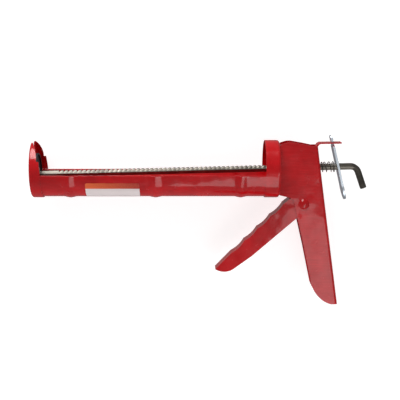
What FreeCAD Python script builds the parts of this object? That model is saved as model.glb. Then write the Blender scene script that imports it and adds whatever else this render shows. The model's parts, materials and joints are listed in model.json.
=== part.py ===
import FreeCAD, Part

import math
import os

import Sketcher
from FreeCAD import Placement, Rotation, Vector

# A half-barrel ratchet caulking gun, in millimetres. The barrel axis is +X, its front end is at the
# origin (the inner face of the front plate) and +Z is up, as the gun is held in use.

doc = FreeCAD.newDocument("caulking_gun")

DIMENSIONS = {
    # barrel
    "barrel_radius": 26.5,
    "barrel_wall": 1.0,
    "trough_length": 233.5,
    "trough_angle": 165.0,
    "bead_first": 35.2,
    "bead_spacing": 81.4,
    "bead_width": 12.5,
    "bead_rise": 1.1,
    # front cap
    "cap_radius": 27.55,
    "cap_wall": 1.0,
    "cap_plate": 1.2,
    "cap_skirt": 9.4,
    "cap_horn_depth": 5.8,
    "cap_horn_height": 9.5,
    "nozzle_radius": 9.0,
    # rear collar
    "collar_front": 220.8,
    "collar_back": 234.8,
    "collar_plate": 1.2,
    "collar_hole": 5.0,
    "through": 600.0,
    "weld_radius": 1.6,
    # handle stamping
    "handle_width": 20.0,
    "sheet": 1.2,
    "fold_radius": 3.0,
    "flange_width": 5.0,
    "web_hole": 4.6,
    "tab_length": 20.6,
    "tab_width": 12.0,
    "tab_height": 24.3,
    "tab_slot_x": 285.4,
    "tab_slot_length": 3.0,
    "tab_slot_width": 7.6,
    "tab_cut": 80.0,
    # trigger and its pivot
    "pivot_x": 258.3,
    "pivot_z": -32.8,
    "pivot_radius": 2.5,
    "rivet_head": 5.2,
    "rivet_rise": 2.6,
    "trigger_width": 16.0,
    "trigger_sheet": 1.2,
    "grip_pitch": 17.2,
    "grip_count": 4,
    "grip_depth": 1.3,
    "running_gap": 0.06,
    "spacer_radius": 3.6,
    "return_coil": 5.0,
    "return_wire": 0.55,
    # pawl
    "pawl_pin_x": 266.3,
    "pawl_pin_z": -12.8,
    "pawl_pin_radius": 2.0,
    "pawl_thickness": 5.0,
    "pin_head_radius": 3.0,
    "pin_head_depth": 0.5,
    "pawl_coil": 3.2,
    "pawl_wire": 0.4,
    # push rod, along its own tilted axis
    "rod_flats": 6.0,
    "rod_drop": 5.24,
    "rod_rise": 1.43,
    "rod_shoulder": 4.6,
    "rod_straight": 303.2,
    "tooth_first": 24.0,
    "tooth_pitch": 4.3,
    "tooth_count": 50,
    "tooth_depth": 1.3,
    "hook_radius": 8.0,
    "hook_angle": 72.0,
    "hook_leg": 16.6,
    "stud_radius": 2.5,
    "bush_radius": 4.7,
    "bush_bore": 3.92,
    "bush_length": 9.0,
    "bush_flange": 7.2,
    "bush_flange_depth": 1.2,
    # plunger
    "plunger_radius": 20.0,
    "plunger_sheet": 1.2,
    "plunger_rim": 2.6,
    "plunger_seat": 2.3,
    "nut_seat": 1.15,
    "nut_height": 1.2,
    "washer_radius": 6.5,
    "nut_flats": 8.0,
    # brake
    "brake_tilt": 13.5,
    "brake_thickness": 2.0,
    "brake_width": 17.0,
    "brake_length": 56.0,
    "brake_hole": 4.25,
    "brake_hole_drop": 23.5,
    "brake_coil": 4.9,
    "brake_wire": 0.42,
    "brake_turns": 4.0,
    "brake_spring_seat": 275.4,
    "brake_spring_length": 12.6,
    # label
    "label_front": 51.0,
    "label_back": 102.0,
    "label_thickness": 0.12,
    "label_film_gap": 0.03,
    "label_angle": 66.0,
    "label_centre": 33.0,
}

sheet = doc.addObject("Spreadsheet::Sheet", "dims")
for row, (alias, number) in enumerate(DIMENSIONS.items(), start=1):
    sheet.set("A%d" % row, alias)
    sheet.set("B%d" % row, str(number))
    sheet.setAlias("B%d" % row, alias)
doc.recompute()


def size(alias):
    """A driving dimension, read back from the sheet."""
    return float(sheet.get(alias))


def bind(item, **links):
    """Tie properties of a document object to cells of the sheet."""
    for name, formula in links.items():
        item.setExpression(name, formula)


# ---------------------------------------------------------------- helpers for bodies and sketches

SUB_PARTS = []


def sub_part(item, label):
    """Name a finished sub-part and list it for the checks and the files."""
    item.Label = label
    SUB_PARTS.append(item)
    return item


def new_body(label):
    """An empty body that will be written out under the given name."""
    return sub_part(doc.addObject("PartDesign::Body", "body_" + label), label)


def new_sketch(body, name, plane):
    """A sketch on one of the body's own origin planes."""
    sketch = body.newObject("Sketcher::SketchObject", name)
    planes = {item.Role: item for item in body.Origin.OriginFeatures}
    sketch.AttachmentSupport = [(planes[plane], "")]
    sketch.MapMode = "FlatFace"
    return sketch


def flat(x, y):
    return Vector(x, y, 0)


def outline(sketch, points, bends=None):
    """A closed outline through (x, y) points. bends gives, for the edge that starts at an index,
    a point halfway along it, which makes that edge an arc."""
    bends = bends or {}
    corners = [flat(*point) for point in points]
    for index, start in enumerate(corners):
        end = corners[(index + 1) % len(corners)]
        if index in bends:
            sketch.addGeometry(Part.Arc(start, flat(*bends[index]), end), False)
        else:
            sketch.addGeometry(Part.LineSegment(start, end), False)
        sketch.addConstraint(Sketcher.Constraint("Block", index))
    return sketch


def round_outline(sketch, x, y, radius_alias):
    """A circle whose radius is a cell of the sheet."""
    edge = sketch.addGeometry(Part.Circle(flat(x, y), Vector(0, 0, 1), size(radius_alias)), False)
    sketch.addConstraint(Sketcher.Constraint("DistanceX", -1, 1, edge, 3, x))
    sketch.addConstraint(Sketcher.Constraint("DistanceY", -1, 1, edge, 3, y))
    radius = sketch.addConstraint(Sketcher.Constraint("Radius", edge, size(radius_alias)))
    sketch.setExpression("Constraints[%d]" % radius, "dims." + radius_alias)
    return sketch


def pad(body, sketch, name, formula):
    """A pad of the sketch, equally to both sides of its plane."""
    feature = body.newObject("PartDesign::Pad", name)
    feature.Profile = sketch
    feature.SideType = "Symmetric"
    bind(feature, Length=formula)
    doc.recompute()
    return feature


def pocket(body, sketch, name, formula):
    """A pocket of the sketch, equally to both sides of its plane, which must remove material."""
    before = body.Shape.Volume
    feature = body.newObject("PartDesign::Pocket", name)
    feature.Profile = sketch
    feature.SideType = "Symmetric"
    bind(feature, Length=formula)
    doc.recompute()
    if not body.Shape.Volume < before:
        raise RuntimeError(name + " removed nothing")
    return feature


def revolve(body, sketch, name, formula="360", symmetric=False):
    """The sketch turned about its horizontal axis."""
    feature = body.newObject("PartDesign::Revolution", name)
    feature.Profile = sketch
    feature.ReferenceAxis = (sketch, ["H_Axis"])
    feature.Midplane = symmetric
    bind(feature, Angle=formula)
    doc.recompute()
    return feature


def groove(body, sketch, name):
    """The sketch turned about its horizontal axis and taken away."""
    before = body.Shape.Volume
    feature = body.newObject("PartDesign::Groove", name)
    feature.Profile = sketch
    feature.ReferenceAxis = (sketch, ["H_Axis"])
    feature.Angle = 360
    doc.recompute()
    if not body.Shape.Volume < before:
        raise RuntimeError(name + " removed nothing")
    return feature


def fillet_edges(body, name, formula, wanted):
    """Round the edges of the body's tip that the test picks."""
    base = body.Tip
    names = ["Edge%d" % (n + 1) for n, edge in enumerate(base.Shape.Edges) if wanted(edge)]
    if not names:
        raise RuntimeError(name + " found no edge")
    feature = body.newObject("PartDesign::Fillet", name)
    feature.Base = (base, names)
    bind(feature, Radius=formula)
    doc.recompute()
    return feature


def cylinder(name, radius, height, place, turn=None):
    """A Part cylinder along its own Z, with its size bound to the sheet."""
    item = doc.addObject("Part::Cylinder", name)
    bind(item, Radius=radius, Height=height)
    item.Placement = Placement(place, turn or Rotation())
    return item


def cut(name, base, tool):
    item = doc.addObject("Part::Cut", name)
    item.Base = base
    item.Tool = tool
    return item


def fuse(name, *shapes):
    item = doc.addObject("Part::MultiFuse", name)
    item.Shapes = list(shapes)
    return item


ALONG_X = Rotation(Vector(0, 1, 0), 90)
ALONG_Y = Rotation(Vector(1, 0, 0), -90)


def rod_place(distance=0.0, turn=None):
    """The place of a point at a distance along the push rod's axis, which rises to the rear."""
    rise = Rotation(Vector(0, 1, 0), -size("rod_rise"))
    start = Vector(0, 0, -size("rod_drop"))
    point = start + rise.multVec(Vector(distance, 0, 0))
    return Placement(point, rise.multiply(turn or Rotation()))


# ---------------------------------------------------------------- barrel: cap, trough and collar


def bead_chain(radius, forward):
    """The start, middle, stop and crest of each bead along one side of the trough's section."""
    half = size("bead_width") / 2
    rise = size("bead_rise")
    chain = []
    for station in range(3):
        centre = size("bead_first") + station * size("bead_spacing")
        chain.append((centre - half, centre, centre + half, radius + rise))
    if not forward:
        chain = [(right, centre, left, top) for left, centre, right, top in reversed(chain)]
    return chain


def barrel_trough():
    """The open cradle: a half tube of sheet with three rolled beads."""
    body = new_body("barrel_trough")
    sketch = new_sketch(body, "trough_section", "XZ_Plane")
    outer = size("barrel_radius")
    inner = outer - size("barrel_wall")
    end = size("trough_length")
    points = [(0, -outer)]
    bends = {}
    for start, middle, stop, top in bead_chain(outer, True):
        points.append((start, -outer))
        bends[len(points) - 1] = (middle, -top)
        points.append((stop, -outer))
    points.append((end, -outer))
    points.append((end, -inner))
    for start, middle, stop, top in bead_chain(inner, False):
        points.append((start, -inner))
        bends[len(points) - 1] = (middle, -top)
        points.append((stop, -inner))
    points.append((0, -inner))
    outline(sketch, points, bends)
    revolve(body, sketch, "trough_sheet", "dims.trough_angle", symmetric=True)


def front_cap():
    """A pressed dish that closes the barrel's front, with an open slot for the nozzle."""
    body = new_body("front_cap")
    outer = size("cap_radius")
    inner = outer - size("cap_wall")
    face = -size("cap_plate")
    skirt = size("cap_skirt")
    section = new_sketch(body, "cap_section", "XZ_Plane")
    outline(section, [(face, 0), (face, outer), (skirt, outer), (skirt, inner), (0, inner), (0, 0)])
    revolve(body, section, "cap_dish")
    fillet_edges(body, "cap_edge", "1.8", lambda edge: is_ring(edge, face, outer))
    trim = new_sketch(body, "horn_trim", "XZ_Plane")
    step = size("cap_horn_height")
    horn = size("cap_horn_depth")
    reach = skirt + 1
    shoulder = skirt - 1.4
    low = -2.0
    tip = 26.2
    outline(
        trim,
        [(horn, step), (0.3, tip), (0.3, outer + 1), (reach, outer + 1), (reach, low), (skirt, low),
         (shoulder, step)],
        {0: (4.4, 18.8)},
    )
    pocket(body, trim, "cap_horns", "2 * dims.cap_radius + 2")
    slot = new_sketch(body, "nozzle_slot", "YZ_Plane")
    half = size("nozzle_radius")
    outline(slot, [(half, 0), (half, outer + 1), (-half, outer + 1), (-half, 0)], {3: (0, -half)})
    pocket(body, slot, "nozzle_opening", "2 * dims.cap_skirt + 4")


def is_ring(edge, x, radius):
    """True for a circle about the X axis at a given station and radius."""
    box = edge.BoundBox
    return abs(box.XMin - x) < 0.01 and abs(box.XMax - x) < 0.01 and abs(box.ZMax - radius) < 0.01


def rear_collar():
    """The cup at the barrel's rear, welded to the trough and to the handle."""
    body = new_body("rear_collar")
    outer = size("cap_radius")
    inner = outer - size("cap_wall")
    front = size("collar_front")
    back = size("collar_back")
    floor = back - size("collar_plate")
    hole = size("collar_hole")
    section = new_sketch(body, "collar_section", "XZ_Plane")
    outline(section, [(front, inner), (front, outer), (back, outer), (back, 0), (floor, 0), (floor, inner)])
    revolve(body, section, "collar_cup")
    fillet_edges(body, "collar_edge", "2.6", lambda edge: is_ring(edge, back, outer))
    bore = new_sketch(body, "collar_bore", "YZ_Plane")
    round_outline(bore, 0, rod_height(back), "collar_hole")
    pocket(body, bore, "bush_hole", "2 * dims.collar_back + 10")
    for side, angle, station in ((-1, 13, 226.4), (-1, 6, 230.3), (1, 13, 226.4), (1, 6, 230.3)):
        weld_dimple(body, side, math.radians(angle), station, outer)


def rod_height(x):
    """Height of the rod's axis above the barrel's axis at a station."""
    return x * math.tan(math.radians(size("rod_rise"))) - size("rod_drop")


def weld_dimple(body, side, angle, station, outer):
    """A shallow spherical dent left by a spot weld on the collar's wall."""
    ball = body.newObject("PartDesign::SubtractiveSphere", "weld_dimple")
    bind(ball, Radius="dims.weld_radius * 2")
    lift = outer + 2 * size("weld_radius") - 0.4
    place = Vector(station, side * lift * math.cos(angle), -lift * math.sin(angle))
    ball.AttachmentOffset = Placement(place, Rotation())
    doc.recompute()


# ---------------------------------------------------------------- handle


def handle_outline():
    """The handle's side view. Its back edge is a nearly straight fold with a slight knee."""
    points = [
        (235.0, -24.4),
        (235.0, 22.8),
        (238.6, 25.0),
        (247.4, 26.0),
        (257.4, 24.2),
        (266.0, 22.4),
        (270.9, 22.6),
        (273.8, 1.2),
        (279.3, -38.0),
        (292.6, -131.4),
        (286.5, -131.4),
        (275.1, -124.9),
        (267.3, -112.5),
        (259.2, -74.8),
        (252.1, -44.9),
        (248.2, -28.6),
        (245.2, -26.9),
    ]
    bends = {1: (236.4, 24.2), 2: (243.0, 26.1), 10: (280.4, -129.0), 11: (270.4, -119.2)}
    return points, bends


def handle_shell():
    """The handle and head: one stamping folded into a channel that is open at the front."""
    body = new_body("handle_shell")
    side = new_sketch(body, "handle_side", "XZ_Plane")
    outline(side, *handle_outline())
    pad(body, side, "handle_block", "dims.handle_width")
    fillet_edges(body, "handle_fold", "dims.fold_radius", is_handle_fold)
    wall = size("sheet")
    room = new_sketch(body, "handle_room", "XZ_Plane")
    outline(
        room,
        [
            (235.0 + wall, -40.0),
            (235.0 + wall, 40.0),
            (270.7 - wall, 40.0),
            (270.9 - wall, 22.6),
            (273.8 - wall, 1.2),
            (279.3 - wall, -38.0),
            (293.9 - wall, -139.0),
            (240.0, -139.0),
        ],
    )
    pocket(body, room, "handle_channel", "dims.handle_width - 2 * dims.sheet")
    gap = new_sketch(body, "flange_gap", "XZ_Plane")
    outline(gap, [(234.0, -40.0), (234.0, 40.0), (237.0, 40.0), (237.0, -40.0)])
    pocket(body, gap, "between_flanges", "dims.handle_width - 2 * dims.sheet - 2 * dims.flange_width + 2")
    add_brake_tab(body)
    pin = new_sketch(body, "pivot_hole", "XZ_Plane")
    round_outline(pin, size("pivot_x"), size("pivot_z"), "pivot_radius")
    pocket(body, pin, "pivot_holes", "dims.handle_width + 4")
    web = new_sketch(body, "web_hole_outline", "YZ_Plane")
    round_outline(web, 0, rod_height(273.5), "web_hole")
    pocket(body, web, "rod_hole", "dims.through")


def is_handle_fold(edge):
    """True for the long edges where the side plates turn into the back web."""
    box = edge.BoundBox
    middle = edge.CenterOfMass
    flat_in_y = box.YMax - box.YMin < 0.01
    return flat_in_y and middle.x > 271.0 and box.ZMax - box.ZMin > 20.0


def add_brake_tab(body):
    """The tongue of sheet bent back from the web's top, slotted for the brake plate."""
    height = size("tab_height")
    wall = size("sheet")
    end = 273.1 + size("tab_length")
    tongue = new_sketch(body, "tab_side", "XZ_Plane")
    outline(
        tongue,
        [
            (269.6, 22.4),
            (270.9, 21.6),
            (272.3, 23.6),
            (273.6, height),
            (end, height + 0.3),
            (end, height + 0.3 + wall),
            (273.1, height + wall),
            (271.2, 24.4),
        ],
    )
    pad(body, tongue, "tab", "dims.tab_width")
    slot = new_sketch(body, "tab_slot", "XY_Plane")
    middle = size("tab_slot_x")
    long = size("tab_slot_length") / 2
    wide = size("tab_slot_width") / 2
    front = middle - long
    rear = middle + long
    outline(slot, [(front, -wide), (rear, -wide), (rear, wide), (front, wide)])
    pocket(body, slot, "brake_slot", "dims.tab_cut")


def rod_guide_bush():
    """The flanged bush that carries the rod through the collar's plate."""
    front = size("collar_back") - size("collar_plate") - size("bush_flange_depth")
    start = Vector(front, 0, 0)
    ahead = Vector(front - size("bush_length"), 0, 0)
    tube = cylinder("bush_tube", "dims.bush_radius", "dims.bush_length", start, ALONG_X)
    flange = cylinder("bush_flange", "dims.bush_flange", "dims.bush_flange_depth", start, ALONG_X)
    bore = cylinder("bush_bore_tool", "dims.bush_bore", "3 * dims.bush_length", ahead, ALONG_X)
    bush = sub_part(cut("bush", fuse("bush_blank", tube, flange), bore), "rod_guide_bush")
    bush.Placement = Placement(Vector(0, 0, rod_height(size("collar_back"))), Rotation())


# ---------------------------------------------------------------- trigger and ratchet


def pivot_rivet():
    """The domed rivet that the trigger swings on, closed over both side plates."""
    body = new_body("trigger_pivot_rivet")
    section = new_sketch(body, "rivet_section", "XZ_Plane")
    half = size("handle_width") / 2
    head = size("rivet_head")
    rise = size("rivet_rise")
    shank = size("pivot_radius")
    dome = (head ** 2 + rise ** 2) / (2 * rise)
    turn = math.asin(head / dome) / 2
    crown = half + rise - dome + dome * math.cos(turn)
    outline(
        section,
        [(-half - rise, 0), (-half, head), (-half, shank), (half, shank), (half, head), (half + rise, 0)],
        {0: (-crown, dome * math.sin(turn)), 4: (crown, dome * math.sin(turn))},
    )
    revolve(body, section, "rivet")
    body.Placement = Placement(Vector(size("pivot_x"), 0, size("pivot_z")), Rotation(Vector(0, 0, 1), 90))


def tube_across(label, outer, bore, length, x, z):
    """A tube lying across the gun, centred on its middle plane."""
    start = Vector(0, -length / 2, 0)
    wall = cylinder(label + "_wall", outer, str(length), start, ALONG_Y)
    hole = cylinder(label + "_hole", bore, str(length + 2), start - Vector(0, 1, 0), ALONG_Y)
    tube = sub_part(cut(label + "_cut", wall, hole), label)
    tube.Placement = Placement(Vector(x, 0, z), Rotation())
    return tube


def trigger_line():
    """The straight line that the trigger's scalloped front follows: top, tip and direction down."""
    top = Vector(245.0, 0, -27.9)
    tip = Vector(174.0, 0, -96.9)
    return top, tip, (tip - top).normalize()


def grip_edge():
    """The trigger's front edge from the head down to the tip: each finger scallop is one arc from
    crest to crest."""
    top, tip, down = trigger_line()
    out = Vector(down.z, 0, -down.x)
    pitch = size("grip_pitch")
    half = size("grip_depth") / 2

    def point(along, proud):
        place = top + down * along + out * proud
        return (place.x, place.z)

    points = [point(0, -0.2)]
    bends = {}
    first = 8.0
    for grip in range(int(size("grip_count"))):
        crest = first + grip * pitch
        points.append(point(crest, half))
        bends[len(points) - 1] = point(crest + pitch / 2, -half)
    points.append(point(first + size("grip_count") * pitch, half))
    points.append((tip.x, tip.z - 0.1))
    return points, bends


def trigger_lever():
    """The trigger: a channel folded along its scalloped front, with two arms above the pivot."""
    body = new_body("trigger_lever")
    points, bends = grip_edge()
    bends[len(points) - 1] = (178.2, -98.9)
    points.append((183.0, -99.5))
    bends[len(points) - 1] = (188.3, -98.5)
    points.append((192.7, -95.9))
    points.append((209.0, -84.1))
    points.append((252.1, -46.8))
    points.append((262.0, -40.2))
    points.append((265.6, -31.0))
    points.append((271.6, -13.4))
    bends[len(points) - 1] = (266.0, -7.4)
    points.append((261.0, -12.4))
    points.append((251.6, -26.0))
    side = new_sketch(body, "trigger_side", "XZ_Plane")
    outline(side, points, bends)
    pad(body, side, "trigger_block", "dims.trigger_width")
    inset_channel(body)
    for name, x, z, radius in (
        ("trigger_pivot", size("pivot_x"), size("pivot_z"), "pivot_radius + dims.running_gap"),
        ("pawl_pin", size("pawl_pin_x"), size("pawl_pin_z"), "pawl_pin_radius"),
    ):
        hole_across(body, name, x, z, radius)


def hole_across(body, name, x, z, radius):
    """A round hole through both side plates."""
    sketch = new_sketch(body, name + "_hole", "XZ_Plane")
    edge = sketch.addGeometry(Part.Circle(flat(x, z), Vector(0, 0, 1), 2.0), False)
    sketch.addConstraint(Sketcher.Constraint("DistanceX", -1, 1, edge, 3, x))
    sketch.addConstraint(Sketcher.Constraint("DistanceY", -1, 1, edge, 3, z))
    hold = sketch.addConstraint(Sketcher.Constraint("Radius", edge, 2.0))
    sketch.setExpression("Constraints[%d]" % hold, "dims." + radius)
    pocket(body, sketch, name + "_holes", "dims.trigger_width + 4")


def inset_channel(body):
    """Hollow the trigger from behind, leaving the front web and the two side plates."""
    wall = size("trigger_sheet") + size("grip_depth")
    top, tip, down = trigger_line()
    inward = Vector(-down.z, 0, down.x)
    start = top + inward * wall - down * 40
    end = tip + inward * wall + down * 40
    far = inward * 90
    room = new_sketch(body, "trigger_room", "XZ_Plane")
    corners = [start, end, end + far, start + far]
    outline(room, [(corner.x, corner.z) for corner in corners])
    pocket(body, room, "trigger_channel", "dims.trigger_width - 2 * dims.trigger_sheet")
    above = new_sketch(body, "arm_room", "XZ_Plane")
    outline(above, [(244.0, -26.0), (244.0, 0.0), (285.0, 0.0), (285.0, -26.0)])
    pocket(body, above, "between_arms", "dims.trigger_width - 2 * dims.trigger_sheet")


def drive_pawl():
    """The dog that bites the rod's teeth: a thick lever on its own pin between the arms."""
    body = new_body("drive_pawl")
    side = new_sketch(body, "pawl_side", "XZ_Plane")
    x = size("pawl_pin_x")
    z = size("pawl_pin_z")
    outline(
        side,
        [
            (x - 3.4, z - 1.8),
            (x - 7.6, z + 8.6),
            (x - 5.8, z + 10.0),
            (x - 3.6, z + 8.6),
            (x + 3.4, z + 1.8),
        ],
        {4: (x + 1.9, z - 3.4)},
    )
    pad(body, side, "pawl_block", "dims.pawl_thickness")
    hole_across(body, "pawl_bore", x, z, "pawl_pin_radius + dims.running_gap")


def pawl_pin():
    """The headed pin that joins the pawl to the trigger's arms."""
    half = size("trigger_width") / 2
    start = Vector(0, -half, 0)
    shank = cylinder("pawl_shank", "dims.pawl_pin_radius", "dims.trigger_width", start, ALONG_Y)
    outside = Vector(0, -half - size("pin_head_depth"), 0)
    inside = Vector(0, half, 0)
    near = cylinder("pawl_head_near", "dims.pin_head_radius", "dims.pin_head_depth", outside, ALONG_Y)
    far = cylinder("pawl_head_far", "dims.pin_head_radius", "dims.pin_head_depth", inside, ALONG_Y)
    pin = sub_part(fuse("pawl_pin_solid", shank, near, far), "pawl_pin")
    pin.Placement = Placement(Vector(size("pawl_pin_x"), 0, size("pawl_pin_z")), Rotation())


def coil(label, radius, wire, pitch, turns, legs=0.0):
    """A round-wire helix about its own Z, with a straight tangent leg at each end if asked for."""
    helix = doc.addObject("Part::Helix", label + "_helix")
    bind(helix, Radius=radius)
    helix.Pitch = pitch
    helix.Height = pitch * turns
    section = doc.addObject("Part::Circle", label + "_section")
    bind(section, Radius=wire)
    section.Placement = Placement(Vector(size(radius[5:]), 0, 0), Rotation(Vector(1, 0, 0), 90))
    sweep = doc.addObject("Part::Sweep", label + "_sweep")
    sweep.Sections = [section]
    sweep.Spine = (helix, ["Edge1"])
    sweep.Solid = True
    sweep.Frenet = True
    if not legs:
        return sweep
    slope = Vector(0, 2 * math.pi * size(radius[5:]), pitch).normalize()
    first = cylinder(label + "_leg", wire, str(legs), Vector(size(radius[5:]), 0, 0))
    first.Placement.Rotation = Rotation(Vector(0, 0, 1), Vector(0, -slope.y, -slope.z))
    return fuse(label + "_wire", sweep, first)


def springs():
    """The brake spring on the rod, the trigger's return spring and the pawl's spring."""
    turns = size("brake_turns")
    pitch = size("brake_spring_length") / turns
    brake = sub_part(coil("brake", "dims.brake_coil", "dims.brake_wire", pitch, turns), "brake_spring")
    brake.Placement = rod_place(size("brake_spring_seat"), ALONG_X)
    across = Rotation(Vector(1, 0, 0), 90)
    back_wire = coil("trigger_return", "dims.return_coil", "dims.return_wire", pitch=1.6, turns=5, legs=14.0)
    back = sub_part(back_wire, "trigger_return_spring")
    back.Placement = Placement(Vector(size("pivot_x"), 4.0, size("pivot_z")), across)
    small_wire = coil("pawl", "dims.pawl_coil", "dims.pawl_wire", pitch=0.95, turns=2.5, legs=5.0)
    small = sub_part(small_wire, "pawl_spring")
    small.Placement = Placement(Vector(size("pawl_pin_x"), 5.6, size("pawl_pin_z")), across)


# ---------------------------------------------------------------- rod and plunger


def push_rod():
    """The hexagonal ratchet rod: teeth along its upper flat, a stud in front and a hook behind."""
    body = new_body("push_rod")
    across = size("rod_flats") / 2
    corner = across / math.cos(math.radians(30))
    section = new_sketch(body, "rod_section", "YZ_Plane")
    angles = [math.radians(60 * step) for step in range(6)]
    outline(section, [(corner * math.cos(a), corner * math.sin(a)) for a in angles])
    straight = size("rod_straight")
    radius = size("hook_radius")
    bend = math.radians(size("hook_angle"))
    leg = size("hook_leg")
    path = new_sketch(body, "rod_path", "XZ_Plane")
    arc_end = flat(straight + radius * math.sin(bend), -radius * (1 - math.cos(bend)))
    arc_middle = flat(straight + radius * math.sin(bend / 2), -radius * (1 - math.cos(bend / 2)))
    tip = arc_end + flat(leg * math.cos(bend), -leg * math.sin(bend))
    path.addGeometry(Part.LineSegment(flat(0, 0), flat(straight, 0)), False)
    path.addGeometry(Part.Arc(flat(straight, 0), arc_middle, arc_end), False)
    path.addGeometry(Part.LineSegment(arc_end, tip), False)
    bar = body.newObject("PartDesign::AdditivePipe", "rod_bar")
    bar.Profile = section
    bar.Spine = (path, ["Edge1", "Edge2", "Edge3"])
    doc.recompute()
    stud = new_sketch(body, "stud_turning", "XZ_Plane")
    shoulder = size("rod_shoulder")
    small = size("stud_radius")
    outline(stud, [(-1, small), (-1, 6), (shoulder, 6), (shoulder, small)])
    groove(body, stud, "stud_shoulder")
    trim = new_sketch(body, "stud_trim", "XZ_Plane")
    outline(trim, [(-1, -5), (-1, 5), (0.6, 5), (0.6, -5)])
    pocket(body, trim, "stud_end", "12")
    cut_teeth(body)
    body.Placement = rod_place()


def cut_teeth(body):
    """One V notch across the upper flat, repeated along the rod. Its front face is steep."""
    top = size("rod_flats") / 2
    first = size("tooth_first")
    pitch = size("tooth_pitch")
    deep = size("tooth_depth")
    notch = new_sketch(body, "tooth_notch", "XZ_Plane")
    outline(notch, [(first, top + 0.5), (first, top - deep), (first + 0.75 * pitch, top + 0.5)])
    tooth = pocket(body, notch, "tooth", "10")
    row = body.newObject("PartDesign::LinearPattern", "teeth")
    row.Originals = [tooth]
    row.Direction = (notch, ["H_Axis"])
    bind(row, Length="dims.tooth_pitch * (dims.tooth_count - 1)", Occurrences="dims.tooth_count")
    body.Tip = row
    doc.recompute()


def plunger_disc():
    """The pressed disc that pushes the cartridge, with a shallow rim turned to the rear."""
    body = new_body("plunger_disc")
    section = new_sketch(body, "plunger_section", "XZ_Plane")
    outer = size("plunger_radius")
    front = size("plunger_seat")
    wall = size("plunger_sheet")
    hole = size("stud_radius") + 0.08
    floor = front + wall
    lip = outer - wall
    rim = front + size("plunger_rim")
    outline(
        section,
        [(front, hole), (front, outer), (rim, outer), (rim, lip), (floor, lip), (floor, hole)],
    )
    revolve(body, section, "plunger")
    fillet_edges(body, "plunger_edge", "0.8", lambda edge: is_ring(edge, front, outer))
    body.Placement = rod_place()


def rod_washer(label, start, thickness):
    """A plain washer on the rod's stud."""
    disc = cylinder(label + "_disc", "dims.washer_radius", str(thickness), Vector(start, 0, 0), ALONG_X)
    before = Vector(start - 1, 0, 0)
    hole = cylinder(label + "_hole", "dims.stud_radius", str(thickness + 2), before, ALONG_X)
    washer = sub_part(cut(label + "_cut", disc, hole), label)
    washer.Placement = rod_place()


def plunger_nut():
    """The thin hexagon nut that keeps the plunger on the stud."""
    body = new_body("plunger_nut")
    section = new_sketch(body, "nut_section", "YZ_Plane")
    corner = size("nut_flats") / 2 / math.cos(math.radians(30))
    angles = [math.radians(60 * step + 30) for step in range(6)]
    outline(section, [(corner * math.cos(a), corner * math.sin(a)) for a in angles])
    pad(body, section, "nut_blank", "dims.nut_height")
    bore = new_sketch(body, "nut_bore", "YZ_Plane")
    round_outline(bore, 0, 0, "stud_radius")
    pocket(body, bore, "nut_hole", "4")
    body.Placement = rod_place(size("nut_seat"))


# ---------------------------------------------------------------- brake and label


def brake_plate():
    """The release plate: it hangs from the tab by its notched neck and grips the rod when tilted."""
    body = new_body("brake_plate")
    face = new_sketch(body, "brake_face", "YZ_Plane")
    half = size("brake_width") / 2
    neck = 3.2
    head = 5.2
    shoulder = 1.5
    crown = 6.9
    waist = -size("brake_length") + 14
    foot = -size("brake_length")
    outline(
        face,
        [
            (-neck, shoulder),
            (-head, shoulder),
            (-head, crown - 1.5),
            (-head + 1.5, crown),
            (head - 1.5, crown),
            (head, crown - 1.5),
            (head, shoulder),
            (neck, shoulder),
            (neck, -shoulder),
            (half, -shoulder - 2.5),
            (half, waist),
            (-half, waist),
            (-half, -shoulder - 2.5),
            (-neck, -shoulder),
        ],
        {10: (0, foot)},
    )
    pad(body, face, "brake_blank", "dims.brake_thickness")
    hole = new_sketch(body, "brake_rod_hole", "YZ_Plane")
    round_outline(hole, 0, -size("brake_hole_drop"), "brake_hole")
    pocket(body, hole, "rod_opening", "dims.brake_thickness + 4")
    hang = Vector(size("tab_slot_x"), 0, 24.9 + 0.2)
    body.Placement = Placement(hang, Rotation(Vector(0, 1, 0), -size("brake_tilt")))


def barrel_label():
    """The printed label wrapped on the trough between the first two beads."""
    inner = size("barrel_radius") + size("label_film_gap")
    front = size("label_front")
    start = Vector(front, 0, 0)
    length = size("label_back") - front
    wedge = size("label_angle")
    turn = Rotation(Vector(1, 0, 0), -size("label_centre") - wedge / 2)
    outer = doc.addObject("Part::Cylinder", "label_outer")
    bind(outer, Radius="dims.barrel_radius + dims.label_film_gap + dims.label_thickness")
    bind(outer, Height="dims.label_back - dims.label_front", Angle="dims.label_angle")
    outer.Placement = Placement(start, turn.multiply(ALONG_X))
    core = cylinder("label_core", str(inner), str(length + 2), start - Vector(1, 0, 0), ALONG_X)
    sub_part(cut("label_cut", outer, core), "barrel_label")


def check_and_write():
    """Refuse a failed object or shape, then write each sub-part to its own file."""
    doc.recompute()
    for item in doc.Objects:
        bad = [state for state in item.State if state in ("Invalid", "Error")]
        if bad:
            raise RuntimeError("%s is %s" % (item.Name, bad))
    os.makedirs("parts", exist_ok=True)
    for item in SUB_PARTS:
        shape = item.Shape
        if shape.isNull() or not shape.isValid():
            raise RuntimeError(item.Label + " has no valid shape")
        shape.exportStep("parts/%s.step" % item.Label)


def build():
    front_cap()
    barrel_trough()
    rear_collar()
    rod_guide_bush()
    handle_shell()
    pivot_rivet()
    bore = "dims.pivot_radius + dims.running_gap"
    tube_across("pivot_spacer", "dims.spacer_radius", bore, 12.8, size("pivot_x"), size("pivot_z"))
    trigger_lever()
    drive_pawl()
    pawl_pin()
    springs()
    push_rod()
    plunger_disc()
    rod_washer("plunger_front_washer", 1.75, 0.45)
    rod_washer("plunger_rear_washer", 3.6, 1.0)
    plunger_nut()
    brake_plate()
    barrel_label()
    check_and_write()


build()
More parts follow.
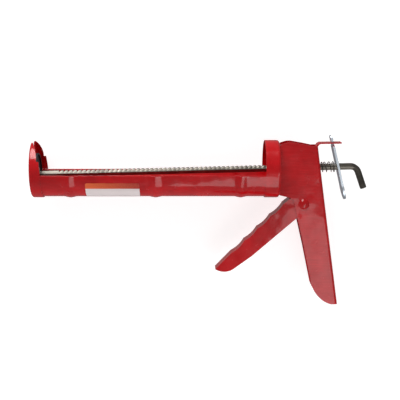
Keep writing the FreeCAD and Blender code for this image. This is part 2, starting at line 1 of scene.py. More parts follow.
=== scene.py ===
"""Looks for a half-barrel ratchet caulking gun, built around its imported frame.

The trough, the ratchet rod, the springs and the label are surfaces worked out with numpy in the frame's
own axes: +X runs along the barrel to the handle and +Z is up. The handle, the trigger and the other
parts keep their CAD shapes and only take their finishes here.
"""

import json
import math

import bpy
import numpy as np
from bpy.props import FloatProperty, FloatVectorProperty, IntProperty, PointerProperty
from bpy.types import Operator, Panel, PropertyGroup
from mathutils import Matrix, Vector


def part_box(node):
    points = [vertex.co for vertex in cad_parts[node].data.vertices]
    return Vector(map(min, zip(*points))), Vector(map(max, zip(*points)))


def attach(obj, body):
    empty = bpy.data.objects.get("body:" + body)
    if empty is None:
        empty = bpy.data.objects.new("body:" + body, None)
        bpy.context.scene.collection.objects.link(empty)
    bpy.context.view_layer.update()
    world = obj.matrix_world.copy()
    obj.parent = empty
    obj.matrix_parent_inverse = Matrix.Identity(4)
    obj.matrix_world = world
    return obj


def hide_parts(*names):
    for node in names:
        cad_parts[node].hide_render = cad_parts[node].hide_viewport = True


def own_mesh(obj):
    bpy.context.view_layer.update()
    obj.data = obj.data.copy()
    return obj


bl_info = {
    "name": "Caulking Gun Finisher",
    "version": (1, 0, 0),
    "blender": (4, 5, 0),
    "location": "3D View > Sidebar > Caulking Gun",
    "description": "Builds the trough, ratchet rod, springs, label and finishes of a caulking gun",
    "category": "Add Mesh",
}

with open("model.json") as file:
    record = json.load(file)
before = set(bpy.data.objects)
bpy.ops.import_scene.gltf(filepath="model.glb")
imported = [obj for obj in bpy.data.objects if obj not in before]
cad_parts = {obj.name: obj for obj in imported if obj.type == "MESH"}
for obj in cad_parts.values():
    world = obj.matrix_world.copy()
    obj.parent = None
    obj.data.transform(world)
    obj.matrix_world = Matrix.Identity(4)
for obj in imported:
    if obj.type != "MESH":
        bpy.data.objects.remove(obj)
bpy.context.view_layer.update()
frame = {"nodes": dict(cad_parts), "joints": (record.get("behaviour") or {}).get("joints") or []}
NODES = frame["nodes"]
MM = 0.001

# Radii of the springs' wires.
BRAKE_WIRE = 0.00042
TRIGGER_WIRE = 0.00055
PAWL_WIRE = 0.0004

# Grid rows along the trough, close enough together for its beads to look round.
TROUGH_STATIONS = 420

# The share of a tooth's pitch over which its notch ramps back up.
RAMP_SHARE = 0.54

# The front stud's outline as (distance along the rod, radius), with a chamfered nose.
STUD_PROFILE_MM = [(0.6, 0.0), (0.6, 2.1), (0.95, 2.47), (4.7, 2.47), (4.7, 0.0)]


def joint(name):
    """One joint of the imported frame."""
    return next(item for item in frame["joints"] if item["name"] == name)


ROD_START = np.array(joint("rod_turn")["pos_m"])
ROD_AXIS = np.array(joint("rod_turn")["axis"]) / np.linalg.norm(joint("rod_turn")["axis"])
ROD_UP = np.cross(ROD_AXIS, [0.0, 1.0, 0.0])
PIVOT = np.array(joint("trigger_pull")["pos_m"])
PAWL_PIN = np.array(joint("pawl_tilt")["pos_m"])
TROUGH_LOW, TROUGH_HIGH = (np.array(corner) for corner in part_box("barrel_trough"))


# ---------------------------------------------------------------- settings


class EnamelSettings(PropertyGroup):
    """The baked red enamel on the sheet metal."""

    colour: FloatVectorProperty(
        name="Enamel", description="Base colour of the red enamel", subtype="COLOR", size=4,
        default=(0.56, 0.004, 0.008, 1.0), min=0.0, max=1.0,
    )
    shade: FloatVectorProperty(
        name="Thick enamel", description="Deeper red where the enamel lies thick", subtype="COLOR",
        size=4, default=(0.43, 0.0022, 0.005, 1.0), min=0.0, max=1.0,
    )
    dents: FloatProperty(
        name="Dents", description="Height of the sheet's broad unevenness", default=0.0006,
        min=0.0, max=0.002, unit="LENGTH", precision=5,
    )
    peel: FloatProperty(
        name="Orange peel", description="Height of the enamel's fine waviness", default=0.00005,
        min=0.0, max=0.001, unit="LENGTH", precision=5,
    )


class BarrelSettings(PropertyGroup):
    """The trough's sheet, its edges and its rolled beads."""

    radius: FloatProperty(
        name="Radius", description="Outside radius of the trough", default=0.0265, min=0.01,
        unit="LENGTH",
    )
    wall: FloatProperty(
        name="Wall", description="Sheet thickness", default=0.001, min=0.0003, unit="LENGTH"
    )
    opening: FloatProperty(
        name="Edge angle", description="How far below the axis the trough's edges lie",
        default=math.radians(7.5), subtype="ANGLE",
    )
    bead_first: FloatProperty(
        name="First bead", description="Distance of the first bead from the front", default=0.0352,
        unit="LENGTH",
    )
    bead_spacing: FloatProperty(
        name="Bead spacing", description="Distance between beads", default=0.0814, unit="LENGTH"
    )
    bead_width: FloatProperty(
        name="Bead width", description="Width of a bead", default=0.0135, unit="LENGTH"
    )
    bead_rise: FloatProperty(
        name="Bead rise", description="Height of a bead", default=0.0011, unit="LENGTH"
    )
    beads: IntProperty(name="Beads", description="How many beads", default=3, min=0)


class RodSettings(PropertyGroup):
    """The hexagonal ratchet rod."""

    flats: FloatProperty(
        name="Across flats", description="Hexagon size", default=0.006, min=0.002, unit="LENGTH"
    )
    shoulder: FloatProperty(
        name="Shoulder", description="Where the hexagon starts", default=0.0046, unit="LENGTH"
    )
    straight: FloatProperty(
        name="Straight length", description="Where the hook's bend starts", default=0.3032,
        unit="LENGTH",
    )
    hook_radius: FloatProperty(
        name="Hook radius", description="Bend radius of the hook", default=0.008, unit="LENGTH"
    )
    hook_angle: FloatProperty(
        name="Hook angle", description="How far the hook is bent", default=math.radians(72.0),
        subtype="ANGLE",
    )
    hook_leg: FloatProperty(
        name="Hook leg", description="Straight end of the hook", default=0.0166, unit="LENGTH"
    )
    tooth_first: FloatProperty(
        name="First tooth", description="Place of the first notch", default=0.024, unit="LENGTH"
    )
    tooth_pitch: FloatProperty(
        name="Tooth pitch", description="Notch spacing", default=0.0043, unit="LENGTH"
    )
    tooth_depth: FloatProperty(
        name="Tooth depth", description="Notch depth", default=0.0013, unit="LENGTH"
    )
    teeth: IntProperty(name="Teeth", description="How many notches", default=50, min=0)


class LabelSettings(PropertyGroup):
    """The printed label on the trough."""

    band: FloatVectorProperty(
        name="Band", description="Colour of the label's upper band", subtype="COLOR", size=4,
        default=(0.85, 0.12, 0.02, 1.0), min=0.0, max=1.0,
    )
    paper: FloatVectorProperty(
        name="Ground", description="Colour of the label's lower band", subtype="COLOR", size=4,
        default=(0.80, 0.70, 0.70, 1.0), min=0.0, max=1.0,
    )


class GunSettings(PropertyGroup):
    """All settings of the caulking gun."""

    enamel: PointerProperty(type=EnamelSettings)
    barrel: PointerProperty(type=BarrelSettings)
    rod: PointerProperty(type=RodSettings)
    label: PointerProperty(type=LabelSettings)


# ---------------------------------------------------------------- surfaces


def grid_faces(rows, columns, wrap):
    """Quads between neighbouring rows and columns of a grid. Wrap joins the last column to the
    first."""
    last = columns if wrap else columns - 1
    row, column = np.meshgrid(np.arange(rows - 1), np.arange(last), indexing="ij")
    ahead = (column + 1) % columns
    here = row * columns
    beyond = here + columns
    quads = np.stack([here + column, here + ahead, beyond + ahead, beyond + column], axis=-1)
    return quads.reshape(-1, 4)


def surface(name, points, capped=True, smooth_angle=40.0):
    """A mesh object from a grid of points, with rows along its length and columns round its closed
    section. The end rows are closed by one flat face each if it is capped. Normals are made to
    point out."""
    rows, columns = points.shape[:2]
    faces = grid_faces(rows, columns, True).tolist()
    if capped:
        faces.append(list(range(columns))[::-1])
        faces.append([(rows - 1) * columns + column for column in range(columns)])
    mesh = bpy.data.meshes.new(name)
    mesh.from_pydata(points.reshape(-1, 3).tolist(), [], faces)
    mesh.update()
    if signed_volume(mesh) < 0:
        mesh.flip_normals()
    mesh.shade_smooth()
    mesh.set_sharp_from_angle(angle=math.radians(smooth_angle))
    piece = bpy.data.objects.new(name, mesh)
    bpy.context.scene.collection.objects.link(piece)
    return piece


def signed_volume(mesh):
    """Sum over the triangles of the scalar triple product of their corners, a sixth of it each:
    positive where the faces point outwards."""
    mesh.calc_loop_triangles()
    count = len(mesh.loop_triangles)
    corners = np.zeros(count * 3, int)
    mesh.loop_triangles.foreach_get("vertices", corners)
    places = np.zeros(len(mesh.vertices) * 3)
    mesh.vertices.foreach_get("co", places)
    a, b, c = places.reshape(-1, 3)[corners.reshape(-1, 3)].transpose(1, 0, 2)
    return float(np.einsum("ij,ij->i", a, np.cross(b, c)).sum() / 6)


def smoothstep(low, high, value):
    """Nought below low, one above high, and the cubic 3t^2 - 2t^3 between them."""
    t = np.clip((value - low) / (high - low), 0.0, 1.0)
    return t * t * (3 - 2 * t)


def rod_point(along, side=0.0, up=0.0):
    """Points in the rod's own axes: along it, to its side (+Y) and above it."""
    along, side, up = np.broadcast_arrays(along, side, up)
    return (
        ROD_START
        + along[..., None] * ROD_AXIS
        + side[..., None] * np.array([0.0, 1.0, 0.0])
        + up[..., None] * ROD_UP
    )


def tube_along(path, radius, around=14):
    """A round tube: at each point of the path, a circle in the plane across its tangent. The circle's
    first direction is carried along by removing its part along each new tangent."""
    tangent = np.gradient(path, axis=0)
    tangent /= np.linalg.norm(tangent, axis=1)[:, None]
    normal = np.zeros_like(path)
    guess = np.cross(tangent[0], [0.31, 0.52, 0.79])
    for index, direction in enumerate(tangent):
        guess = guess - direction * guess.dot(direction)
        guess /= np.linalg.norm(guess)
        normal[index] = guess
    binormal = np.cross(tangent, normal)
    turn = np.linspace(0, 2 * np.pi, around, endpoint=False)[None, :, None]
    ring = normal[:, None] * np.cos(turn) + binormal[:, None] * np.sin(turn)
    return path[:, None] + radius * ring


def ride_as(piece, body, replaced, material):
    """Give a finished piece its material, its body and the nodes it stands for."""
    piece.data.materials.append(material)
    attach(piece, body)
    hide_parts(*replaced)
    return piece


# ---------------------------------------------------------------- materials


class Recipe:
    """A material with a Principled shader and short calls that add and join its nodes."""

    def __init__(self, name):
        self.material = bpy.data.materials.new(name)
        self.material.use_nodes = True
        self.tree = self.material.node_tree
        self.shader = next(node for node in self.tree.nodes if node.type == "BSDF_PRINCIPLED")

    def node(self, kind, **sockets):
        """A new shader node of a kind, with its sockets fed."""
        made = self.tree.nodes.new("ShaderNode" + kind)
        for name, value in sockets.items():
            self.feed(made, name.replace("_", " "), value)
        return made

    def feed(self, node, name, value):
        """Join another node's output to a socket, or set the socket's own value."""
        target = node.inputs[name]
        if isinstance(value, bpy.types.NodeSocket):
            self.tree.links.new(value, target)
        else:
            target.default_value = value

    def set(self, **sockets):
        """Feed the Principled shader's own sockets."""
        for name, value in sockets.items():
            self.feed(self.shader, name.replace("_", " "), value)

    def places(self, stretch=(1.0, 1.0, 1.0)):
        """Object coordinates multiplied by the stretch. A small number draws a pattern out that way."""
        source = self.node("TexCoord").outputs["Object"]
        return self.node("Mapping", Vector=source, Scale=stretch).outputs["Vector"]

    def noise(self, scale, detail=3.0, roughness=0.5, places=None):
        """Noise over Object coordinates, or over the places given."""
        vector = places if places is not None else self.places()
        made = self.node("TexNoise", Vector=vector, Scale=scale, Detail=detail, Roughness=roughness)
        return made.outputs["Fac"]

    def levels(self, value, low, high, to_low=0.0, to_high=1.0):
        """The value between low and high spread over the range to_low to to_high."""
        made = self.node("MapRange")
        for index, number in enumerate((value, low, high, to_low, to_high)):
            if isinstance(number, bpy.types.NodeSocket):
                self.tree.links.new(number, made.inputs[index])
            else:
                made.inputs[index].default_value = number
        return made.outputs["Result"]

    def blend(self, factor, first, second):
        """A mix of two colours. The Mix node's colours are its inputs 6 and 7 and its output 2."""
        made = self.tree.nodes.new("ShaderNodeMix")
        made.data_type = "RGBA"
        for index, value in ((0, factor), (6, first), (7, second)):
            if isinstance(value, bpy.types.NodeSocket):
                self.tree.links.new(value, made.inputs[index])
            else:
                made.inputs[index].default_value = value
        return made.outputs[2]

    def bump(self, height, distance, under=None):
        """A normal bent by a height, on top of the one under it."""
        made = self.node("Bump", Height=height, Distance=distance)
        if under is not None:
            self.feed(made, "Normal", under)
        return made.outputs["Normal"]


def red_enamel(settings, name="baked_enamel", streaks=0.0):
    """Glossy baked enamel: two reds mottled by thickness, broad dents that bend reflections, fine
    orange peel and a clear gloss. Streaks are level brush-like lines, as on the handle's side."""
    recipe = Recipe(name)
    mottle = recipe.levels(recipe.noise(55.0, 4.0, 0.6), 0.35, 0.68)
    speck = recipe.levels(recipe.noise(900.0, 2.0), 0.62, 0.75)
    colour = recipe.blend(mottle, tuple(settings.shade), tuple(settings.colour))
    pale = tuple(min(1.0, channel * 1.25 + 0.02) for channel in settings.colour[:3]) + (1.0,)
    colour = recipe.blend(recipe.levels(speck, 0.0, 1.0, 0.0, 0.35), colour, pale)
    dented = recipe.bump(recipe.noise(50.0, 1.0), settings.dents)
    peel = recipe.bump(recipe.noise(420.0, 2.0), settings.peel, under=dented)
    normal = recipe.bump(recipe.noise(1300.0, 1.0), settings.peel * 0.35, under=peel)
    if streaks:
        lines = recipe.noise(800.0, 2.0, places=recipe.places((0.10, 0.10, 1.0)))
        normal = recipe.bump(lines, streaks, under=normal)
        colour = recipe.blend(recipe.levels(lines, 0.45, 0.75, 0.0, 0.30), colour, pale)
    rough = recipe.levels(recipe.noise(160.0, 3.0), 0.3, 0.7, 0.16, 0.28)
    recipe.set(Base_Color=colour, Roughness=rough, Normal=normal)
    recipe.set(Coat_Weight=0.5, Coat_Roughness=0.05, Coat_Normal=dented, Specular_IOR_Level=0.3)
    return recipe.material


def zinc_plate(name="bright_zinc", light=1.0, roughness=0.0):
    """Zinc: bluish steel with a faint spangle and fine rolling streaks, darker and duller if asked."""
    recipe = Recipe(name)
    spangle = recipe.levels(recipe.noise(240.0, 3.0, 0.6), 0.3, 0.7)
    streak = recipe.noise(900.0, 2.0, places=recipe.places((1.0, 1.0, 0.06)))
    grey = (0.74 * light, 0.82 * light, 0.90 * light, 1.0)
    pale = (0.80 * light, 0.88 * light, 0.96 * light, 1.0)
    rough = recipe.levels(streak, 0.3, 0.7, 0.26 + roughness, 0.44 + roughness)
    recipe.set(Base_Color=recipe.blend(spangle, grey, pale), Metallic=0.92, Roughness=rough)
    recipe.set(Normal=recipe.bump(streak, 0.00002))
    return recipe.material


def rod_steel():
    """Drawn steel, darkened all along to a grey-brown as painted shade for the shade the rod lies in:
    long streaks and darker blotches.
    """
    recipe = Recipe("drawn_steel")
    streak = recipe.noise(700.0, 3.0, places=recipe.places((0.05, 1.0, 1.0)))
    blotch = recipe.levels(recipe.noise(70.0, 4.0, 0.6), 0.35, 0.7)
    # Both tones are painted shade: the steel is darkened to the shade in the trough, and the blotches
    # between them vary at random.
    shade_darkened_deep = (0.11, 0.098, 0.083, 1.0)
    shade_darkened_pale = (0.20, 0.182, 0.155, 1.0)
    colour = recipe.blend(blotch, shade_darkened_deep, shade_darkened_pale)
    rough = recipe.levels(streak, 0.3, 0.7, 0.26, 0.44)
    recipe.set(Base_Color=colour, Metallic=0.9, Roughness=rough)
    recipe.set(Normal=recipe.bump(streak, 0.00002))
    return recipe.material


def dark_steel(name, light=0.12):
    """Oiled dark steel for springs and the pawl."""
    recipe = Recipe(name)
    worn = recipe.levels(recipe.noise(500.0, 3.0), 0.4, 0.75)
    oily = (light * 0.6, light * 0.55, light * 0.55, 1.0)
    bare = (light * 2, light * 1.9, light * 1.8, 1.0)
    colour = recipe.blend(worn, oily, bare)
    recipe.set(Base_Color=colour, Metallic=0.85, Roughness=recipe.levels(worn, 0.0, 1.0, 0.45, 0.28))
    return recipe.material


def label_print(settings):
    """The label: an orange-red upper band with faint dots, darker towards the rear, then a broad pale
    band with a thin red line along its lower edge. It reads the piece's own UV map, u from the front
    to the rear and v down round the barrel."""
    recipe = Recipe("label_print")
    uv = recipe.node("UVMap").outputs["UV"]
    split = recipe.node("SeparateXYZ", Vector=uv)
    along, across = split.outputs["X"], split.outputs["Y"]
    rear_red = (0.45, 0.02, 0.012, 1.0)
    dot_orange = (0.85, 0.30, 0.05, 1.0)
    line_red = (0.55, 0.02, 0.02, 1.0)
    fade = recipe.blend(along, tuple(settings.band), rear_red)
    spread = recipe.node("Mapping", Vector=uv, Scale=(50.0, 30.0, 1.0)).outputs["Vector"]
    dots = recipe.node("TexVoronoi", Vector=spread, Scale=1.0)
    screen = recipe.levels(dots.outputs["Distance"], 0.1, 0.5, 0.25, 0.0)
    fade = recipe.blend(screen, fade, dot_orange)
    lower = recipe.levels(across, 0.21, 0.22)
    line = recipe.levels(across, 0.95, 0.96)
    colour = recipe.blend(lower, fade, tuple(settings.paper))
    colour = recipe.blend(line, colour, line_red)
    recipe.set(Base_Color=colour, Roughness=0.28, Coat_Weight=0.5, Coat_Roughness=0.08)
    return recipe.material


def pale_card():
    """Pale card for the backdrop and its floor, lit from within so that it looks white round the gun
    and takes only light shadows. Its back is clear."""
    recipe = Recipe("pale_card")
    grain = recipe.levels(recipe.noise(6.0, 2.0), 0.3, 0.7, 0.44, 0.46)
    tint = recipe.node("CombineColor", Red=grain, Green=grain, Blue=grain).outputs["Color"]
    recipe.set(Base_Color=tint, Roughness=0.9, Specular_IOR_Level=0.0)
    recipe.set(Emission_Color=(1.0, 1.0, 1.0, 1.0), Emission_Strength=0.78)
    clear = recipe.node("BsdfTransparent").outputs["BSDF"]
    behind = recipe.node("NewGeometry").outputs["Backfacing"]
    mix = recipe.node("MixShader", Fac=behind)
    recipe.tree.links.new(recipe.shader.outputs["BSDF"], mix.inputs[1])
    recipe.tree.links.new(clear, mix.inputs[2])
    out = next(node for node in recipe.tree.nodes if node.type == "OUTPUT_MATERIAL")
    recipe.tree.links.new(mix.outputs["Shader"], out.inputs["Surface"])
    return recipe.material


FINISHES = {}


def finish(name, make):
    """One of this script's own finishes, made the first time it is asked for. The frame's plain
    materials, which may have the same names, are never taken for one."""
    if name not in FINISHES:
        FINISHES[name] = make()
    return FINISHES[name]


def dress(node_names, material):
    """Put a material on CAD nodes that keep their own shape."""
    for name in node_names:
        slots = NODES[name].material_slots
        if not slots:
            NODES[name].data.materials.append(material)
        for slot in slots:
            slot.material = material


# ---------------------------------------------------------------- operators


class GUN_OT_barrel(Operator):
    """Build the trough with its rolled beads"""

    bl_idname = "gun.barrel"
    bl_label = "Barrel Trough"

    def execute(self, context):
        settings = context.scene.gun.barrel
        enamel = finish("baked_enamel", lambda: red_enamel(context.scene.gun.enamel))
        section = trough_section(settings)
        stations = np.linspace(TROUGH_LOW[0], TROUGH_HIGH[0], TROUGH_STATIONS)
        piece = surface("trough", trough_points(settings, section, stations))
        ride_as(piece, "frame", ["barrel_trough"], enamel)
        return {"FINISHED"}


def trough_section(settings, arc=72, lip=7):
    """The sheet's closed section as (angle, depth): out along the outer arc, round the edge in a
    half circle and back along the inner arc. Depth runs from 0 outside to 1 inside."""
    edge = settings.wall / 2 / settings.radius
    low = -math.pi + settings.opening + edge
    high = -settings.opening - edge
    there = np.linspace(low, high, arc)
    half_turn = np.linspace(0, math.pi, lip + 2)[1:-1]
    far_lip = np.stack([high + edge * np.sin(half_turn), 0.5 - 0.5 * np.cos(half_turn)], axis=1)
    near_lip = np.stack([low - edge * np.sin(half_turn), 0.5 + 0.5 * np.cos(half_turn)], axis=1)
    outer = np.stack([there, np.zeros(arc)], axis=1)
    inner = np.stack([there[::-1], np.ones(arc)], axis=1)
    return np.concatenate([outer, far_lip, inner, near_lip])


def bead_height(settings, x):
    """Rise of the rolled beads at x: for each bead, a squared cosine over its width."""
    rise = np.zeros_like(x)
    for number in range(settings.beads):
        centre = settings.bead_first + number * settings.bead_spacing
        reach = np.clip(np.abs(x - centre) / (settings.bead_width / 2), 0, 1)
        rise += settings.bead_rise * np.cos(reach * math.pi / 2) ** 2
    return rise


def trough_points(settings, section, stations):
    """Each station carries the section at radius R + bead(x) - depth * wall, at its angle about the
    barrel axis."""
    angle, depth = section[:, 0], section[:, 1]
    radius = settings.radius + bead_height(settings, stations)[:, None] - depth[None] * settings.wall
    x = np.broadcast_to(stations[:, None], radius.shape)
    return np.stack([x, radius * np.cos(angle), radius * np.sin(angle)], axis=-1)


class GUN_OT_rod(Operator):
    """Build the toothed hexagonal rod with its hook"""

    bl_idname = "gun.rod"
    bl_label = "Push Rod"

    def execute(self, context):
        settings = context.scene.gun.rod
        piece = surface("ratchet_rod", rod_points(settings), smooth_angle=28.0)
        ride_as(piece, "rod", ["push_rod"], finish("drawn_steel", rod_steel))
        stud = lathe("rod_stud", STUD_PROFILE_MM)
        ride_as(stud, "rod", ["push_rod"], finish("drawn_steel", rod_steel))
        return {"FINISHED"}


def lathe(name, profile_mm, around=48):
    """A profile of (distance along the rod, radius) in millimetres turned about the rod's axis."""
    profile = np.array(profile_mm) * MM
    turn = np.linspace(0, 2 * np.pi, around, endpoint=False)
    along = np.broadcast_to(profile[:, :1], (len(profile), around))
    points = rod_point(along, profile[:, 1:] * np.cos(turn), profile[:, 1:] * np.sin(turn))
    return surface(name, points, capped=False)


def hexagon(flats, corner=0.00035, steps=6):
    """A hexagon with a flat on top: each corner is an arc of so many steps about a centre set in from
    it, and each straight flat has one more point at its middle."""
    inner = flats / 2 - corner
    reach = inner / math.cos(math.pi / 6)
    points = []
    for number in range(6):
        middle = number * math.pi / 3
        turn = middle + np.linspace(-math.pi / 6, math.pi / 6, steps)
        centre = reach * np.array([math.cos(middle), math.sin(middle)])
        points.append(centre + corner * np.stack([np.cos(turn), np.sin(turn)], axis=1))
    ring = np.concatenate(points)
    following = np.roll(ring, -1, axis=0)
    between = (ring + following) / 2
    flat = np.flatnonzero(np.linalg.norm(following - ring, axis=1) > corner * 2)
    return np.insert(ring, flat + 1, between[flat], axis=0)


def notch_ceiling(settings, along):
    """Height of the rod's top at a distance along it: full height, less a steep-fronted notch at each
    tooth that ramps back up over just more than half of the pitch."""
    place = (along - settings.tooth_first) / settings.tooth_pitch
    inside = (place >= 0) & (place < settings.teeth)
    ramp = np.clip(1 - np.mod(place, 1.0) / RAMP_SHARE, 0, 1)
    return settings.flats / 2 - np.where(inside, ramp, 0) * settings.tooth_depth


def rod_points(settings):
    """The hexagon carried along the rod and round its hook, an arc that bends down, and then straight
    on to an end drawn in by a small chamfer. On the straight before the hook, whatever stands above
    the notches' ceiling is lowered to it."""
    lead, bend_steps = 0.00002, 26
    chamfer, end_scale = 0.0005, 0.84
    ring = hexagon(settings.flats)
    last = settings.tooth_first + settings.teeth * settings.tooth_pitch
    per_tooth = np.array([0.0, 0.004, 0.18, 0.36, RAMP_SHARE, 0.70, 0.85, 0.996])
    number = np.arange(settings.teeth)[:, None]
    teeth = settings.tooth_first + (number + per_tooth).ravel() * settings.tooth_pitch
    before = settings.tooth_first - lead
    straight = np.concatenate([[settings.shoulder, before], teeth, [last, settings.straight]])
    side = np.broadcast_to(ring[:, 0], (len(straight), len(ring)))
    up = np.minimum(ring[:, 1], notch_ceiling(settings, straight)[:, None])
    body = rod_point(straight[:, None], side, up)
    bend = np.linspace(0, settings.hook_angle, bend_steps)[1:]
    radius = settings.hook_radius + ring[:, 1]
    along = settings.straight + radius * np.sin(bend)[:, None]
    drop = -settings.hook_radius + radius * np.cos(bend)[:, None]
    hook = rod_point(along, np.broadcast_to(ring[:, 0], along.shape), drop)
    ahead = np.array([settings.hook_leg - chamfer, settings.hook_leg])
    step = math.cos(settings.hook_angle) * ROD_AXIS - math.sin(settings.hook_angle) * ROD_UP
    leg = hook[-1][None] + ahead[:, None, None] * step
    middle = leg[1].mean(axis=0)
    leg[1] = middle + (leg[1] - middle) * end_scale
    return np.concatenate([body, hook, leg])


class GUN_OT_springs(Operator):
    """Wind the brake, trigger and pawl springs"""

    bl_idname = "gun.springs"
    bl_label = "Springs"

    def execute(self, context):
        steel = finish("oiled_wire", lambda: dark_steel("oiled_wire"))
        brake = surface("brake_coil", tube_along(brake_coil_path(), BRAKE_WIRE))
        ride_as(brake, "frame", ["brake_spring"], steel)
        tuple(rod_point(0.2754))
        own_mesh(brake)
        back_path = torsion_path(PIVOT, radius=0.005, first_y=0.0038, turns=5, pitch=0.0016, leg=0.014)
        back = surface("trigger_coil", tube_along(back_path, TRIGGER_WIRE))
        ride_as(back, "frame", ["trigger_return_spring"], steel)
        pawl_path = torsion_path(
            PAWL_PIN, radius=0.0032, first_y=0.0055, turns=2.5, pitch=0.00095, leg=0.005
        )
        pawl = surface("pawl_coil", tube_along(pawl_path, PAWL_WIRE))
        ride_as(pawl, "trigger", ["pawl_spring"], steel)
        return {"FINISHED"}


def brake_coil_path():
    """A compression helix about the rod. Three quarters of its length follows the smooth step and one
    quarter the turn, so at each end the pitch falls to a quarter of its mean. Its radius grows evenly
    from the front to the rear."""
    turns, start, length = 4.0, 0.2757, 0.0122
    eased, even = 0.75, 0.25
    front_radius, growth = 0.0046, 0.0003
    t = np.linspace(0, 1, 320)
    along = start + length * smoothstep(0.04, 0.96, t) * eased + length * even * t
    angle = 2 * np.pi * turns * t
    radius = front_radius + growth * t
    return rod_point(along, radius * np.cos(angle), radius * np.sin(angle))


def torsion_path(centre, radius, first_y, turns, pitch, leg):
    """A helix about the Y axis through a pivot, with a straight leg before its first turn that comes
    down to it along its tangent."""
    steps_per_turn, leg_steps, join = 40, 12, 0.0002
    angle = np.linspace(0, 2 * np.pi * turns, int(turns * steps_per_turn))
    y = first_y - pitch * angle / (2 * np.pi)
    helix = np.stack([radius * np.cos(angle), y, -radius * np.sin(angle)], axis=1)
    back = np.linspace(leg, join, leg_steps)
    straight = np.stack([np.full(leg_steps, radius), np.full(leg_steps, first_y), back], axis=1)
    return centre * [1, 0, 1] + np.concatenate([straight, helix])


class GUN_OT_label(Operator):
    """Lay the printed label on the trough"""

    bl_idname = "gun.label"
    bl_label = "Barrel Label"

    def execute(self, context):
        low, high = (np.array(corner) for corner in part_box("barrel_label"))
        piece = label_sheet(low[0], high[0])
        ride_as(piece, "frame", ["barrel_label"], label_print(context.scene.gun.label))
        return {"FINISHED"}


def label_sheet(front, back, first=24.0, last=90.0, along=40, around=40):
    """A thin sheet wrapped on the trough from one angle below the axis to another, its outer and inner
    faces 0.12 mm apart. Near its two long edges the columns are shortened at both ends by
    corner * (1 - sqrt(1 - n^2)), with n from 1 at the edge to 0, which rounds the corners."""
    inner_radius, outer_radius = 0.02653, 0.02665
    corner, corner_share = 0.0012, 0.06
    u = np.linspace(0, 1, along)
    v = np.linspace(0, 1, around)
    nearness = np.clip(1 - np.minimum(v, 1 - v) / corner_share, 0, 1)
    inset = corner * (1 - np.sqrt(np.clip(1 - nearness ** 2, 0, 1)))
    x = (front + inset)[None] + u[:, None] * (back - front - 2 * inset)[None]
    angle = np.radians(first + (last - first) * v)[None] + np.zeros_like(x)
    faces = []
    for r in (outer_radius, inner_radius):
        faces.append(np.stack([x, -r * np.cos(angle), -r * np.sin(angle)], axis=-1))
    ring = np.concatenate([faces[0], faces[1][:, ::-1]], axis=1)
    piece = surface("label", ring, smooth_angle=30.0)
    layer = piece.data.uv_layers.new(name="print")
    corners = np.zeros(len(piece.data.loops), int)
    piece.data.loops.foreach_get("vertex_index", corners)
    column = corners % (2 * around)
    column = np.where(column < around, column, 2 * around - 1 - column)
    uv = np.stack([(corners // (2 * around)) / (along - 1), column / (around - 1)], axis=1)
    layer.data.foreach_set("uv", uv.ravel())
    return piece


class GUN_OT_finishes(Operator):
    """Give every part that keeps its CAD shape its finish"""

    bl_idname = "gun.finishes"
    bl_label = "Metal Finishes"

    def execute(self, context):
        enamel = finish("baked_enamel", lambda: red_enamel(context.scene.gun.enamel))
        dress(["front_cap", "rear_collar", "trigger_lever", "trigger_pivot_rivet"], enamel)
        streaked = red_enamel(context.scene.gun.enamel, "handle_enamel", streaks=0.00004)
        dress(["handle_shell"], streaked)
        zinc = finish("bright_zinc", zinc_plate)
        dress(
            [
                "rod_guide_bush", "pivot_spacer", "pawl_pin", "plunger_front_washer",
                "plunger_rear_washer", "plunger_nut", "brake_plate",
            ],
            zinc,
        )
        # The plunger disc's zinc is darkened to near black as painted shade, for the shade inside the
        # front cap.
        dress(["plunger_disc"], zinc_plate("shade_darkened_zinc", light=0.09, roughness=0.2))
        dress(["drive_pawl"], finish("pawl_steel", lambda: dark_steel("pawl_steel", 0.2)))
        return {"FINISHED"}


class GUN_OT_stage(Operator):
    """Set the pale backdrop, the soft lights and the camera"""

    bl_idname = "gun.stage"
    bl_label = "Stage, Lights and Camera"

    def execute(self, context):
        sheet = backdrop()
        sheet.data.materials.append(pale_card())
        sheet.visible_glossy = False
        place_camera(context.scene)
        light_up(context.scene)
        return {"FINISHED"}


def backdrop():
    """A sheet that stands just behind the gun and curves forward, in a quarter circle, into a floor
    below it."""
    wall_y, floor_z, sweep = 0.0285, -0.34, 0.12
    front_y, top_z = -0.30, 1.6
    turn = np.linspace(0, math.pi / 2, 16)
    curve_y = wall_y - sweep + sweep * np.cos(turn)
    curve_z = floor_z + sweep - sweep * np.sin(turn)
    y = np.concatenate([[wall_y], curve_y, [front_y]])
    z = np.concatenate([[top_z], curve_z, [floor_z]])
    x = np.array([-2.2, 2.5])
    points = np.stack(np.broadcast_arrays(x[:, None], y[None], z[None]), axis=-1)
    mesh = bpy.data.meshes.new("backdrop")
    mesh.from_pydata(points.reshape(-1, 3).tolist(), [], grid_faces(2, len(y), False).tolist())
    mesh.update()
    if mesh.polygons[0].normal.y > 0:
        mesh.flip_normals()
    mesh.shade_smooth()
    sheet = bpy.data.objects.new("backdrop", mesh)
    bpy.context.scene.collection.objects.link(sheet)
    return sheet


def place_camera(scene):
    """A long lens on the gun's near side, looking down at nine degrees on a place a little ahead of the
    gun's centre."""
    tilt, distance = math.radians(9.0), 0.933
    aim = np.array([0.1484, -0.0047, -0.0297])
    data = bpy.data.cameras.new("camera")
    data.lens = 87.5
    data.sensor_width = 36.0
    data.shift_x = 0.028
    camera = bpy.data.objects.new("camera", data)
    camera.location = aim + distance * np.array([0.0, -math.cos(tilt), math.sin(tilt)])
    camera.rotation_euler = (math.pi / 2 - tilt, 0.0, 0.0)
    scene.collection.objects.link(camera)
    scene.camera = camera


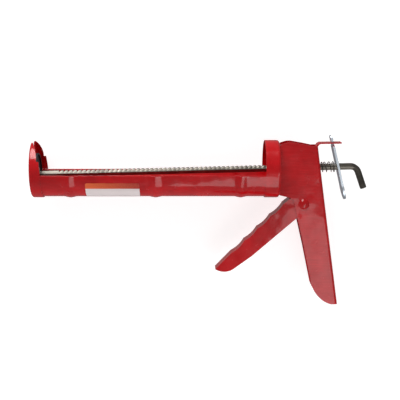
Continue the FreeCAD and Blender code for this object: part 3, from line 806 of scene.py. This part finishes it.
def area_light(scene, name, place, target, size, power):
    """A rectangular soft light at a place, turned to face a target. Its size is (width, height)."""
    data = bpy.data.lights.new(name, "AREA")
    data.shape = "RECTANGLE"
    data.size, data.size_y = size
    data.energy = power
    lamp = bpy.data.objects.new(name, data)
    lamp.location = place
    toward = np.array(target) - np.array(place)
    yaw = math.atan2(toward[1], toward[0]) - math.pi / 2
    pitch = math.atan2(toward[2], math.hypot(toward[0], toward[1]))
    lamp.rotation_euler = (math.pi / 2 + pitch, 0.0, yaw)
    scene.collection.objects.link(lamp)


def light_up(scene):
    """A dim surround, a broad key above and to the front left, and two softboxes low on the right: one
    is mirrored in the barrel's near side, the other in the handle's lower half but not in the
    trigger."""
    scene.view_settings.view_transform = "Standard"
    world = bpy.data.worlds.new("surround")
    world.use_nodes = True
    ground = next(node for node in world.node_tree.nodes if node.type == "BACKGROUND")
    ground.inputs["Color"].default_value = (1.0, 1.0, 1.0, 1.0)
    ground.inputs["Strength"].default_value = 0.20
    scene.world = world
    area_light(scene, "key", (-0.30, -0.42, 1.18), (0.13, 0.0, -0.03), (0.9, 0.9), 19.0)
    area_light(scene, "barrel_softbox", (0.5, -0.9, -1.05), (0.2, 0.0, -0.05), (0.6, 1.2), 4.8)
    area_light(scene, "handle_softbox", (0.62, -1.0, -0.39), (0.27, 0.0, -0.08), (0.6, 0.35), 1.4)


class GUN_PT_panel(Panel):
    """The caulking gun's pieces in the sidebar."""

    bl_idname = "GUN_PT_panel"
    bl_label = "Caulking Gun"
    bl_space_type = "VIEW_3D"
    bl_region_type = "UI"
    bl_category = "Caulking Gun"

    def draw(self, context):
        for operator in OPERATORS:
            self.layout.operator(operator.bl_idname)


OPERATORS = (GUN_OT_barrel, GUN_OT_rod, GUN_OT_springs, GUN_OT_label, GUN_OT_finishes, GUN_OT_stage)
SETTINGS = (EnamelSettings, BarrelSettings, RodSettings, LabelSettings, GunSettings)
CLASSES = SETTINGS + OPERATORS + (GUN_PT_panel,)


def register():
    for item in CLASSES:
        bpy.utils.register_class(item)
    bpy.types.Scene.gun = PointerProperty(type=GunSettings)


def unregister():
    del bpy.types.Scene.gun
    for item in reversed(CLASSES):
        bpy.utils.unregister_class(item)


def main():
    """Register and build every piece in order."""
    register()
    bpy.ops.gun.barrel()
    bpy.ops.gun.rod()
    bpy.ops.gun.springs()
    bpy.ops.gun.label()
    bpy.ops.gun.finishes()
    bpy.ops.gun.stage()


if __name__ == "__main__":
    main()
